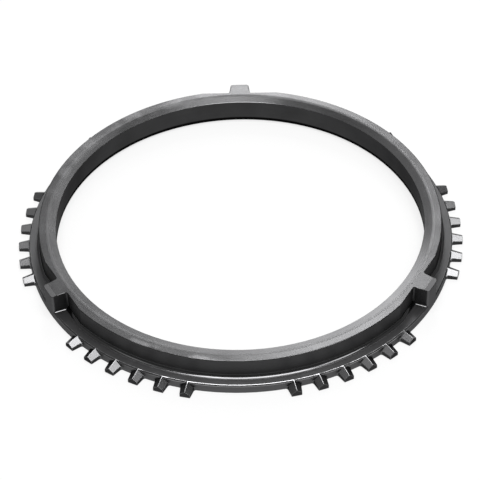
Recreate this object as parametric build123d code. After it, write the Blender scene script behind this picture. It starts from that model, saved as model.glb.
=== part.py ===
from build123d import *
from math import cos, degrees, radians, sin, tan, atan2
import os

# Synchronizer ring of a heavy gearbox, one machined steel piece, all sizes in millimetres.
# Frame: Z is the axis of the ring, Z = 0 is the face towards the gear and +Z points to the hub.
# The middle of one index lug lies on +Y.

# Rim and friction cone
bore_radius = 80.0          # small end of the friction cone, just below the bevel
rim_wall = 7.5              # from the small end of the cone to the outside of the rim
ring_height = 13.2          # gear face to hub face
cone_angle = 4.0            # half angle of the cone, which opens towards the gear
bevel_width = 3.75          # radial width of the slanted band inside the hub face
bevel_drop = 1.3            # how far that band falls towards the bore
mouth_chamfer = 1.1         # lead-in at the large end of the cone
rim_edge = 0.3              # edge break round the outside of the hub face, flats and lugs included
foot_fillet = 1.9           # hollow where rim and flats stand on the flange

# Flange
flange_width = 5.0          # how far the flange stands out from the rim
flange_thickness = 4.2
flange_edge = 0.5           # edge break on the upper outside edge of the flange

# Index lugs and the flats beside them
lug_count = 3
lug_end_width = 8.2         # across the outer end
lug_root_width = 9.8        # across the lug where it leaves the flat
lug_corner = 1.0            # rounding of the two upright outer edges
lug_root_fillet = 0.9       # hollow between a lug and its flat
lug_foot_fillet = 0.8       # hollow where the sides of a lug stand on the flange
lug_nose_length = 2.2       # slanted band on top of the outer end
lug_nose_drop = 0.45
flat_depth = 1.7            # how deep the flat cuts into the rim, measured at its middle

# Blocking teeth
pitches_around = 54         # full tooth pitches round the ring, most of them used
group_count = 6
teeth_per_group = 6
tooth_length = 4.6          # from the flange to the tooth tips
tooth_tip_width = 4.3
tooth_root_width = 5.6
tooth_root_fillet = 1.0
roof_angle = 112.0          # angle between the two roof faces of a tooth
ridge_fall = 12.0           # slope of the ridge, downwards to the tip

# Clearance
sink = 0.02                 # how far the hollows of lugs and teeth start inside the walls they join

# Sizes that follow from the ones above
rim_radius = bore_radius + rim_wall
flange_radius = rim_radius + flange_width
tip_radius = flange_radius + tooth_length
cone_height = ring_height - bevel_drop
mouth_radius = bore_radius + cone_height * tan(radians(cone_angle))
flat_distance = rim_radius - flat_depth
tooth_pitch = 360 / pitches_around


def corner(shape, x, y):
    """The corner of a flat shape that lies nearest to a point."""
    return shape.vertices().sort_by_distance((x, y, 0))[0]


def upright_edge(shape, x, y):
    """The upright edge that stands nearest to a point of the plan."""
    return shape.edges().filter_by(Axis.Z).sort_by_distance((x, y, 0))[0]


def rim():
    """Rim with bevel and friction cone, turned from one section with a hollow foot."""
    foot_end = (rim_radius + foot_fillet, flange_thickness)
    foot_start = (rim_radius, flange_thickness + foot_fillet)
    outline = Polyline((mouth_radius, 0), (rim_radius + foot_fillet, 0), foot_end)
    outline += RadiusArc(foot_end, foot_start, foot_fillet)
    outline += Polyline(
        foot_start,
        (rim_radius, ring_height),
        (bore_radius + bevel_width, ring_height),
        (bore_radius, cone_height),
        (mouth_radius, 0),
    )
    section = make_face(outline)
    section = chamfer(corner(section, mouth_radius, 0), mouth_chamfer)
    section = chamfer(corner(section, rim_radius, ring_height), rim_edge)
    return revolve(Plane.XZ * section, Axis.Z)


def flat_cutter():
    """Takes the rim back to a flat with the same foot, and breaks the upper edge of the flat."""
    foot_end = (flat_distance + foot_fillet, flange_thickness)
    foot_start = (flat_distance, flange_thickness + foot_fillet)
    beyond = rim_radius + 2 * foot_fillet
    outline = RadiusArc(foot_end, foot_start, foot_fillet)
    outline += Polyline(
        foot_start,
        (flat_distance, ring_height - rim_edge),
        (flat_distance - 2 * rim_edge, ring_height + rim_edge),
        (beyond, ring_height + rim_edge),
        (beyond, -rim_edge),
        (flat_distance + foot_fillet, -rim_edge),
        foot_end,
    )
    return extrude(Plane.XZ * make_face(outline), rim_radius / 2, both=True)


def flange():
    """Flat ring round the foot of the rim, with an edge break on top."""
    inside = (mouth_radius + mouth_chamfer + flat_distance) / 2
    section = make_face(
        Polyline(
            (inside, 0),
            (flange_radius, 0),
            (flange_radius, flange_thickness),
            (inside, flange_thickness),
            close=True,
        )
    )
    section = chamfer(corner(section, flange_radius, flange_thickness), flange_edge)
    return revolve(Plane.XZ * section, Axis.Z)


def lug_plan():
    """Plan of a lug: round outer end flush with the flange, rounded corners and hollow roots."""
    inside = (bore_radius + bevel_width + flat_distance) / 2
    root = flat_distance - sink
    slope = (lug_root_width - lug_end_width) / 2 / (flange_radius - root)
    beyond = flange_radius + lug_corner
    plan = make_face(
        Polyline(
            (inside, -lug_root_width),
            (root, -lug_root_width),
            (root, -lug_root_width / 2),
            (beyond, -lug_end_width / 2 + lug_corner * slope),
            (beyond, lug_end_width / 2 - lug_corner * slope),
            (root, lug_root_width / 2),
            (root, lug_root_width),
            (inside, lug_root_width),
            close=True,
        )
    )
    plan = plan & Circle(flange_radius)
    for side in (-1, 1):
        plan = fillet(corner(plan, flange_radius, side * lug_end_width / 2), lug_corner)
        plan = fillet(corner(plan, root, side * lug_root_width / 2), lug_root_fillet)
    return plan


def lug_foot():
    """Hollow foot along one side of a lug."""
    hollow = make_face(
        Polyline(
            (-lug_foot_fillet, -lug_foot_fillet),
            (lug_foot_fillet, -lug_foot_fillet),
            (lug_foot_fillet, 0),
            (0, lug_foot_fillet),
            (-lug_foot_fillet, lug_foot_fillet),
            close=True,
        )
    )
    hollow -= Pos(lug_foot_fillet, lug_foot_fillet) * Circle(lug_foot_fillet)
    bar = Pos(-foot_fillet / 2, 0, 0) * extrude(Plane.YZ * hollow, 2 * flange_width)
    turn = degrees(atan2(lug_end_width - lug_root_width, 2 * (flange_radius - flat_distance)))
    root = Pos(flat_distance, lug_root_width / 2 - sink, flange_thickness - sink)
    return root * Rot(0, 0, turn) * bar & Cylinder(flange_radius - flange_edge, 3 * ring_height)


def index_lug():
    """Upright lug on the flange, its top level with the hub face, with a slanted nose."""
    block = extrude(lug_plan(), ring_height)
    top_edges = block.faces().sort_by(Axis.Z)[-1].edges()
    outer_edges = top_edges.filter_by_position(Axis.X, flat_distance - 2 * sink, flange_radius)
    block = chamfer(outer_edges, rim_edge)
    nose = make_face(
        Polyline(
            (flange_radius - lug_nose_length, ring_height),
            (flange_radius + lug_nose_length, ring_height),
            (flange_radius + lug_nose_length, ring_height - 2 * lug_nose_drop),
            close=True,
        )
    )
    return block - extrude(Plane.XZ * nose, lug_root_width, both=True)


def blocking_tooth():
    """Tapered tooth with a pointed roof whose ridge falls towards the tip."""
    taper = (tooth_root_width - tooth_tip_width) / 2 / tooth_length
    hidden_half = tooth_root_width / 2 + flange_width * taper
    wedge = make_face(
        Polyline(
            (rim_radius, -hidden_half),
            (tip_radius, -tooth_tip_width / 2),
            (tip_radius, tooth_tip_width / 2),
            (rim_radius, hidden_half),
            close=True,
        )
    )
    plan = Rot(0, 0, 180) * Circle(flange_radius - sink) + wedge
    blank = extrude(plan, flange_thickness)
    roots = [upright_edge(blank, flange_radius, side * tooth_root_width / 2) for side in (-1, 1)]
    blank = fillet(roots, tooth_root_fillet)
    span = tooth_root_width / 2 + tooth_root_fillet
    ridge_start = flange_radius - flange_edge
    eaves = flange_thickness - span / tan(radians(roof_angle / 2))
    gable = make_face(
        Polyline(
            (0, flange_thickness),
            (span, eaves),
            (span, -ring_height),
            (-span, -ring_height),
            (-span, eaves),
            close=True,
        )
    )
    along_ridge = (cos(radians(ridge_fall)), 0, -sin(radians(ridge_fall)))
    roofed = extrude(Plane.YZ.offset(ridge_start) * gable, ring_height, dir=along_ridge)
    return blank & roofed


def synchronizer_ring():
    """The whole ring, fused into one solid."""
    lug_places = PolarLocations(0, lug_count, 90)
    upper = rim() - lug_places * flat_cutter() + lug_places * index_lug()
    lower = [flange()]
    foot = lug_foot()
    lower += lug_places * foot
    lower += lug_places * mirror(foot, Plane.XZ)
    tooth = blocking_tooth()
    first_tooth = -(teeth_per_group - 1) / 2 * tooth_pitch
    group_span = teeth_per_group * tooth_pitch
    for group in range(group_count):
        start = group * 360 / group_count + first_tooth
        lower += PolarLocations(0, teeth_per_group, start, group_span) * tooth
    return upper + lower


if __name__ == "__main__":
    os.makedirs("parts", exist_ok=True)
    ring = synchronizer_ring()
    export_step(ring, "parts/synchronizer_ring.step")
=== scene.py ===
import bpy
import bmesh
from math import cos, hypot, pi, radians, sin
from mathutils import Matrix, Vector


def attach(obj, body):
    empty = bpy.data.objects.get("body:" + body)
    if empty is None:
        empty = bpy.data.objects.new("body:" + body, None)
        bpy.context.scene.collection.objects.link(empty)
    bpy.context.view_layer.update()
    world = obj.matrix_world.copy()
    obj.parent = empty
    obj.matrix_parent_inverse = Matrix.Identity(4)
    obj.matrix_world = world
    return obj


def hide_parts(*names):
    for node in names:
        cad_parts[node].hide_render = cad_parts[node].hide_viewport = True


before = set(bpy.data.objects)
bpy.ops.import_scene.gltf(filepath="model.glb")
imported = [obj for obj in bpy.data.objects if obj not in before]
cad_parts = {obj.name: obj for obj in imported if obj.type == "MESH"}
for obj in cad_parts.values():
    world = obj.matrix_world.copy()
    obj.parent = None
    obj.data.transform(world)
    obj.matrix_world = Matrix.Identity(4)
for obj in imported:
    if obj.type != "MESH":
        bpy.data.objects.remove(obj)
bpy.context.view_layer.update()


# The ring: a steel forging, turned inside and out, with milled flats, lugs and teeth, then tumbled
# and phosphated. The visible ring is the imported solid, with its triangles joined into whole faces
# and its sharp edges rounded as the tumbling drum leaves them.

ring_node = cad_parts["synchronizer_ring"]

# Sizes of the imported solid, in metres.
ring_height = 0.0132
bore_radius = 0.08
band_radius = 0.0838
rim_radius = 0.0875
flat_distance = 0.0858
foot_radius = 0.0019
flange_radius = 0.0925
flange_top = 0.0042
teeth_start = flange_radius + 0.0003
lug_turns = (90, 210, 330)
tooth_root_bottom = 0.001
tooth_root_top = 0.003

# How closely triangles are joined, and how wide the roundings are.
weld_distance = 0.000004
flat_within = radians(0.1)
foot_fit = 0.00001
blend_angle = radians(15.0)
blend_width = 0.0007
blend_segments = 4
burr_angle = radians(30.0)
burr_width = 0.00016
burr_segments = 2

shape = bmesh.new()
shape.from_mesh(ring_node.data)
burr_mark = shape.faces.layers.float.new("burr")
blend_mark = shape.faces.layers.float.new("blend")
true_normal = shape.loops.layers.float_vector.new("true_normal")
packed_normals = ring_node.data.corner_normals
for packed_face, face in zip(ring_node.data.polygons, shape.faces):
    for corner, loop in zip(packed_face.loop_indices, face.loops):
        loop[true_normal] = packed_normals[corner].vector
bmesh.ops.remove_doubles(shape, verts=shape.verts, dist=weld_distance)
bmesh.ops.dissolve_degenerate(shape, dist=weld_distance / 2, edges=shape.edges)
bmesh.ops.dissolve_limit(
    shape,
    angle_limit=flat_within,
    verts=shape.verts,
    edges=shape.edges,
    use_dissolve_boundaries=False,
)


def foot_normal(place, outward, wall):
    """The way the hollow foot of a wall faces at a place, or None where the place isn't on it."""
    across = wall + foot_radius - place.dot(outward)
    up = flange_top + foot_radius - place.z
    if min(across, up) < -foot_fit or abs(hypot(across, up) - foot_radius) > foot_fit:
        return None
    return (outward * across + Vector((0.0, 0.0, up))).normalized()


# The lamps mirror sharply in the hollow foot of the rim and of the flats, so its normals are
# worked out from its arc.
flat_sides = [Vector((cos(radians(turn)), sin(radians(turn)), 0.0)) for turn in lug_turns]
for face in shape.faces:
    places = [loop.vert.co for loop in face.loops]
    flat_side = max(flat_sides, key=face.calc_center_median().dot)
    on_flat = [foot_normal(place, flat_side, flat_distance) for place in places]
    on_rim = [
        foot_normal(place, Vector((place.x, place.y, 0.0)).normalized(), rim_radius)
        for place in places
    ]
    for normals in (on_flat, on_rim):
        if all(normals):
            for loop, normal in zip(face.loops, normals):
                loop[true_normal] = normal


def round_off(edges, width, segments, mark):
    """Rounds edges and marks the new faces."""
    rounding = bmesh.ops.bevel(
        shape,
        geom=edges,
        offset=width,
        offset_type="OFFSET",
        affect="EDGES",
        segments=segments,
        profile=0.5,
        material=-1,
        clamp_overlap=False,
    )
    for face in rounding["faces"]:
        face[mark] = 1.0


def has_room(edge):
    """Whether a sharp edge can be rounded: not in a tooth's root and not beside a tiny edge."""
    for vert in edge.verts:
        if vert.co.xy.length < teeth_start and tooth_root_bottom < vert.co.z < tooth_root_top:
            return False
        for other in vert.link_edges:
            if other not in sharp and other.calc_length() < 2 * burr_width:
                return False
    return True


# The hub face runs softly into the slanted band inside it. The sharper edges then get a small
# rounding.
soft = [
    edge
    for edge in shape.edges
    if edge.is_convex
    and blend_angle < edge.calc_face_angle() < burr_angle
    and all(abs(vert.co.xy.length - band_radius) < blend_width for vert in edge.verts)
]
round_off(soft, blend_width, blend_segments, blend_mark)
sharp = {edge for edge in shape.edges if edge.is_convex and edge.calc_face_angle() > burr_angle}
open_edges = [edge for edge in shape.edges if edge in sharp and has_room(edge)]
round_off(open_edges, burr_width, burr_segments, burr_mark)

# A rounding takes its normals from the faces beside it, so that the light runs over it smoothly.
for face in shape.faces:
    face.smooth = True
for vert in shape.verts:
    on_rounding = [
        loop for loop in vert.link_loops if loop.face[blend_mark] + loop.face[burr_mark] > 0.0
    ]
    beside = [loop[true_normal] for loop in vert.link_loops if loop not in on_rounding]
    normal = sum(beside, Vector()) if beside else vert.normal
    for loop in on_rounding:
        loop[true_normal] = normal.normalized()

ring_mesh = bpy.data.meshes.new("finished_ring")
shape.to_mesh(ring_mesh)
shape.free()
kept_normals = [value.vector.normalized() for value in ring_mesh.attributes["true_normal"].data]
ring_mesh.normals_split_custom_set(kept_normals)
ring_mesh.attributes.remove(ring_mesh.attributes["true_normal"])
ring = bpy.data.objects.new("finished_ring", ring_mesh)
bpy.context.scene.collection.objects.link(ring)


class Wire:
    """A value inside a material, so that shader maths can be written as plain sums."""

    def __init__(self, tree, socket):
        self.tree = tree
        self.socket = socket

    def node(self, kind, settings=None, output=0, **inputs):
        """Adds a node, sets it up, fills its inputs by name or as _NUMBER, returns an output."""
        added = self.tree.nodes.new(kind)
        for name, value in (settings or {}).items():
            setattr(added, name, value)
        for name, value in inputs.items():
            slot = added.inputs[int(name[1:]) if name[0] == "_" else name]
            if isinstance(value, Wire):
                value.feed(slot)
            else:
                slot.default_value = value
        return Wire(self.tree, added.outputs[output])

    def other(self, output):
        """Another output of the node that this value comes from."""
        return Wire(self.tree, self.socket.node.outputs[output])

    def feed(self, slot):
        """Leads this value to an input."""
        self.tree.links.new(self.socket, slot)

    def math(self, operation, *values):
        """One Math node on the values given."""
        inputs = {"_%d" % number: value for number, value in enumerate(values)}
        return self.node("ShaderNodeMath", {"operation": operation}, **inputs)

    def __add__(self, other):
        return self.math("ADD", self, other)

    __radd__ = __add__

    def __sub__(self, other):
        return self.math("SUBTRACT", self, other)

    def __rsub__(self, other):
        return self.math("SUBTRACT", other, self)

    def __mul__(self, other):
        return self.math("MULTIPLY", self, other)

    __rmul__ = __mul__

    def __truediv__(self, other):
        return self.math("DIVIDE", self, other)

    def __rtruediv__(self, other):
        return self.math("DIVIDE", other, self)

    def clamped(self):
        """This value kept between 0 and 1."""
        return self.math("MINIMUM", self.math("MAXIMUM", self, 0.0), 1.0)

    def past(self, start, run):
        """0 up to a start, then rising to 1 over a run."""
        return ((self - start) * (1.0 / run)).clamped()

    def under(self, end, run):
        """0 from an end upwards, and rising to 1 over a run below it."""
        return ((end - self) * (1.0 / run)).clamped()


# The steel's colour holds painted light and shade as well as its own tones.
steel = bpy.data.materials.new("ring_steel_with_painted_light")
steel.use_nodes = True
shader = steel.node_tree.nodes["Principled BSDF"]
here = Wire(steel.node_tree, shader.outputs["BSDF"]).node("ShaderNodeTexCoord", output="Object")
along_x = here.node("ShaderNodeSeparateXYZ", output="X", Vector=here)
along_y = along_x.other("Y")
height = along_x.other("Z")
radius = along_x.math("SQRT", along_x * along_x + along_y * along_y)
around_x = along_x / radius
around_y = along_y / radius
face_way = here.node("ShaderNodeNewGeometry", output="Normal")
upright = face_way.node("ShaderNodeSeparateXYZ", output="Z", Vector=face_way)
burrs = here.node("ShaderNodeAttribute", {"attribute_name": "burr"}, output="Fac")
blend = here.node("ShaderNodeAttribute", {"attribute_name": "blend"}, output="Fac")


def toward(turn):
    """How far a place lies towards a direction, given in degrees: 1 there and -1 opposite."""
    return around_x * cos(radians(turn)) + around_y * sin(radians(turn))


def noise(place, scale, detail, roughness):
    """A noise that swings about zero."""
    inputs = {"Vector": place, "Scale": scale, "Detail": detail, "Roughness": roughness}
    return place.node("ShaderNodeTexNoise", **inputs) - 0.5


# Turning leaves streaks along the circle: fine across the path of the tool and long along it.
streak_length = 5.0
streak_fineness = 900.0
streak_place = radius.node(
    "ShaderNodeCombineXYZ",
    X=around_x * streak_length,
    Y=around_y * streak_length,
    Z=(radius + height) * streak_fineness,
)
streaks = noise(streak_place, 1.0, 3.0, 0.6)
patches = noise(here, 70.0, 3.0, 0.55)
smears = noise(here, 95.0, 2.0, 0.5)
grain = noise(here, 1500.0, 2.0, 0.5)

# Each of these is 1 on one part of the ring and 0 elsewhere, with a short run between.
edge_run = 0.00025
wall_middle = 0.084
mouth_height = 0.0028
top_faces = upright.past(0.55, 0.25)
walls = upright.under(0.3, 0.2)
on_teeth = radius.past(teeth_start, edge_run)
off_teeth = 1.0 - on_teeth
below_hub = height.under(ring_height - 0.0017, 0.0002)
hub_face = height.past(ring_height - 0.0007, edge_run) * top_faces
hub_band = radius.under(band_radius, edge_run) * top_faces
bore_edge = radius.under(bore_radius + 0.0005, edge_run / 2)
bore_edge = bore_edge * height.past(ring_height - 0.002, edge_run)
mouth = height.under(mouth_height, 0.0004) * radius.under(wall_middle, edge_run)
mouth = mouth * upright.past(-0.9, 0.1)
rim_outside = radius.past(wall_middle, 2 * edge_run) * walls
slopes = upright.past(0.5, 0.25) * upright.under(1.0, 0.125) * below_hub
foot = slopes * radius.under(rim_radius + 0.003, edge_run)
shelf = height.under(flange_top + 0.0003, edge_run) * upright.past(0.93, 0.05)
flange_face = below_hub * upright.past(0.9, 0.05) * off_teeth
flange_edge = radius.past(flange_radius - 0.001, edge_run)
flange_rim = flange_edge * height.past(flange_top - 0.0012, edge_run) * off_teeth
teeth_sides = on_teeth * walls
flange_wall = flange_edge * walls - teeth_sides
roofs = on_teeth * top_faces
lug_noses = upright.past(0.965, 0.01) * upright.under(0.995, 0.01)
lug_noses = lug_noses * hub_face * radius.past(rim_radius + 0.002, 2 * edge_run)

# The phosphate is nearly black on rough walls, and lighter where the steel was ground or rubbed.
# Part of
# this is painted light: by the way each face looks, the walls carry painted shade and the upward
# faces and slopes carry painted highlights.
shaded_coat_grey = 0.05
lit_ground_grey = 0.1
rubbed_sheen_grey = 0.17
shade = top_faces * (lit_ground_grey - shaded_coat_grey) + slopes * (rubbed_sheen_grey - lit_ground_grey) + shaded_coat_grey
shade = shade * (patches * 0.7 + streaks * 0.25 + grain * 0.05 + 1.0)
# Lighter and darker greys by part. Most are painted light: painted highlights on the flange shelf,
# the band, the roofs, the flange wall and the lug noses, and painted shade on the foot and on the
# sides of the teeth.
tone_and_painted_light_changes = (
    (shelf, 0.035),
    (hub_band, 0.02),
    (roofs, 0.03),
    (foot, -0.03),
    (rim_outside, 0.015),
    (flange_wall, 0.045),
    (teeth_sides, -0.03),
    (flange_face, -0.018),
    (lug_noses, 0.13),
)
for part, change in tone_and_painted_light_changes:
    shade = shade + part * change

# Knocks bare the steel along the edges, least on the teeth and on the flange away from the front.
# The
# bare edges are also painted highlights: the flange edge is lighter at the front, where the lamps
# glint, and a painted highlight runs along the back of the bore's edge.
bare_glint_grey = 0.45
front = toward(283).past(0.8, 0.05)
less_wear_and_glint = on_teeth * 0.8 + flange_rim * (0.8 - front * 0.5)
wear_and_glint = below_hub * (1.0 - less_wear_and_glint) * (1.0 - mouth) + bore_edge * toward(90).past(0.97, 0.025) * 0.5
shade = shade + burrs * wear_and_glint * (bare_glint_grey - shaded_coat_grey)

# Hands and bumps leave smears on the hub face, and painted shade darkens the mouth of the bore,
# standing in for the shadow where it meets the floor.
mouth_painted_shade = 0.85
handled = toward(135).past(0.7745, 0.168)
bumped = toward(250).past(0.95, 0.1) * radius.past(band_radius + 0.001, 0.0011)
shade = shade + hub_face * smears.past(0.0, 0.143) * (handled * 0.045 + bumped * 0.25 + 0.008)
shade = shade * (1.0 - mouth * mouth_painted_shade)
blueness = 1.02
colour = shade.node("ShaderNodeCombineColor", Red=shade, Green=shade, Blue=shade * blueness)
colour.feed(shader.inputs["Base Color"])

# Rough walls scatter the light, and the rubbed slopes and the sides of the teeth shine more.
turned_roughness = 0.26
rough = patches * 0.1 + streaks * 0.04 + turned_roughness
roughness_changes = (
    (walls, 0.24),
    (shelf, 0.24),
    (slopes, -0.08),
    (foot, -0.08),
    (teeth_sides, -0.2),
    (mouth, 0.4),
    (blend, 0.14 - around_x * 0.09),
    (lug_noses, 0.22),
    (on_teeth * slopes, 0.05),
)
for part, change in roughness_changes:
    rough = rough + part * change
rough.clamped().feed(shader.inputs["Roughness"])

# The streaks of the tool also stand out a little, and bend the light round the ring.
relief = streaks * 0.9 + grain * 0.1
bump = relief.node("ShaderNodeBump", Strength=0.035, Distance=0.00002, Height=relief)
bump.feed(shader.inputs["Normal"])
shader.inputs["Metallic"].default_value = 1.0
shader.inputs["Specular Tint"].default_value = (0.4, 0.4, 0.4, 1.0)
shader.inputs["Anisotropic"].default_value = 0.4
shader.inputs["Anisotropic Rotation"].default_value = 0.25
ring_mesh.materials.append(steel)
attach(ring, "root")
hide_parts("synchronizer_ring")


# The floor: a plain white table top that reaches past the picture on every side. The camera and
# the steel see it close to pure white, it takes the ring's soft shadow, and from below it is clear.

floor_half = 3.0
floor_drop = 0.0001
paper_grey = 0.9
glow_share = 0.75

floor_mesh = bpy.data.meshes.new("floor")
floor_shape = bmesh.new()
bmesh.ops.create_grid(floor_shape, x_segments=1, y_segments=1, size=floor_half)
bmesh.ops.translate(floor_shape, vec=(0.0, 0.0, -floor_drop), verts=floor_shape.verts)
floor_shape.to_mesh(floor_mesh)
floor_shape.free()
floor = bpy.data.objects.new("floor", floor_mesh)
bpy.context.scene.collection.objects.link(floor)
paper = bpy.data.materials.new("white_paper")
paper.use_nodes = True
sheet = paper.node_tree.nodes["Principled BSDF"]
sheet.inputs["Base Color"].default_value = (paper_grey, paper_grey, paper_grey, 1.0)
sheet.inputs["Roughness"].default_value = 1.0
sheet.inputs["Specular IOR Level"].default_value = 0.0
matte = Wire(paper.node_tree, sheet.outputs["BSDF"])
light_path = matte.node("ShaderNodeLightPath", output="Is Camera Ray")
seen = light_path.math("MAXIMUM", light_path, light_path.other("Is Glossy Ray"))
seen = seen.math("MAXIMUM", seen, light_path.other("Is Transmission Ray"))
glow = seen.node("ShaderNodeEmission", Strength=1.0)
white_top = seen.node("ShaderNodeMixShader", _0=seen * glow_share, _1=matte, _2=glow)
underneath = seen.node("ShaderNodeNewGeometry", output="Backfacing")
clear = seen.node("ShaderNodeBsdfTransparent")
both_sides = seen.node("ShaderNodeMixShader", _0=underneath, _1=white_top, _2=clear)
both_sides.feed(paper.node_tree.nodes["Material Output"].inputs["Surface"])
floor_mesh.materials.append(paper)


# The studio: an even room, and soft boxes placed as round a product table. Each one hangs at the
# same distance from the ring and faces it, and its light is given as the brightness of its front.

room_brightness = 0.22
lamp_distance = 1.2

room = bpy.data.worlds.new("room")
room.use_nodes = True
backdrop = room.node_tree.nodes["Background"]
backdrop.inputs["Color"].default_value = (1.0, 1.0, 1.0, 1.0)
backdrop.inputs["Strength"].default_value = room_brightness
bpy.context.scene.world = room


def soft_box(name, azimuth, elevation, width, length, brightness):
    """Hangs a soft box that faces the ring. Width runs level, and length up and down."""
    data = bpy.data.lights.new(name, "AREA")
    data.shape = "RECTANGLE"
    data.size = width
    data.size_y = length
    data.energy = brightness * pi * width * length
    lamp = bpy.data.objects.new(name, data)
    bpy.context.scene.collection.objects.link(lamp)
    turn, rise = radians(azimuth), radians(elevation)
    way = Vector((cos(turn) * cos(rise), sin(turn) * cos(rise), sin(rise)))
    aim = (-way).to_track_quat("-Z", "Y").to_matrix().to_4x4()
    lamp.matrix_world = Matrix.Translation(way * lamp_distance) @ aim


# Behind the ring, for the hub face and the band inside it.
soft_box("rear_box_low", 88.5, 34.5, 0.19, 0.20, 9.0)
soft_box("rear_box_high", 83, 48, 0.18, 0.20, 9.5)
soft_box("top_box", 84, 76, 0.24, 0.14, 7.0)
soft_box("rear_wall", 90, 36, 0.90, 1.10, 0.7)
soft_box("rear_strip", 97, 17.5, 0.36, 0.48, 4.2)
# Above the front and at the sides, for the hollow foot, the edges and the teeth.
soft_box("front_panel", 278, 76, 0.76, 0.66, 6.8)
soft_box("left_panel", 205, 50, 0.34, 0.40, 0.6)
soft_box("right_panel", 331, 52, 0.30, 0.44, 3.6)


# The camera: it stands 0.7 m in front of the ring and looks down on it at about 43 degrees, with
# the long lens of a product picture.

camera_place = Vector((0.008926, -0.532673, 0.491207))
camera_aim = Vector((0.000034, -0.017020, 0.013361))
camera_roll = radians(-1.596)

camera_data = bpy.data.cameras.new("camera")
camera_data.lens = 123.4
camera_data.sensor_width = 36.0
camera = bpy.data.objects.new("camera", camera_data)
bpy.context.scene.collection.objects.link(camera)
camera_turn = (camera_aim - camera_place).to_track_quat("-Z", "Y").to_matrix().to_4x4()
roll = Matrix.Rotation(camera_roll, 4, "Z")
camera.matrix_world = Matrix.Translation(camera_place) @ camera_turn @ roll
bpy.context.scene.camera = camera
bpy.context.scene.view_settings.view_transform = "Standard"
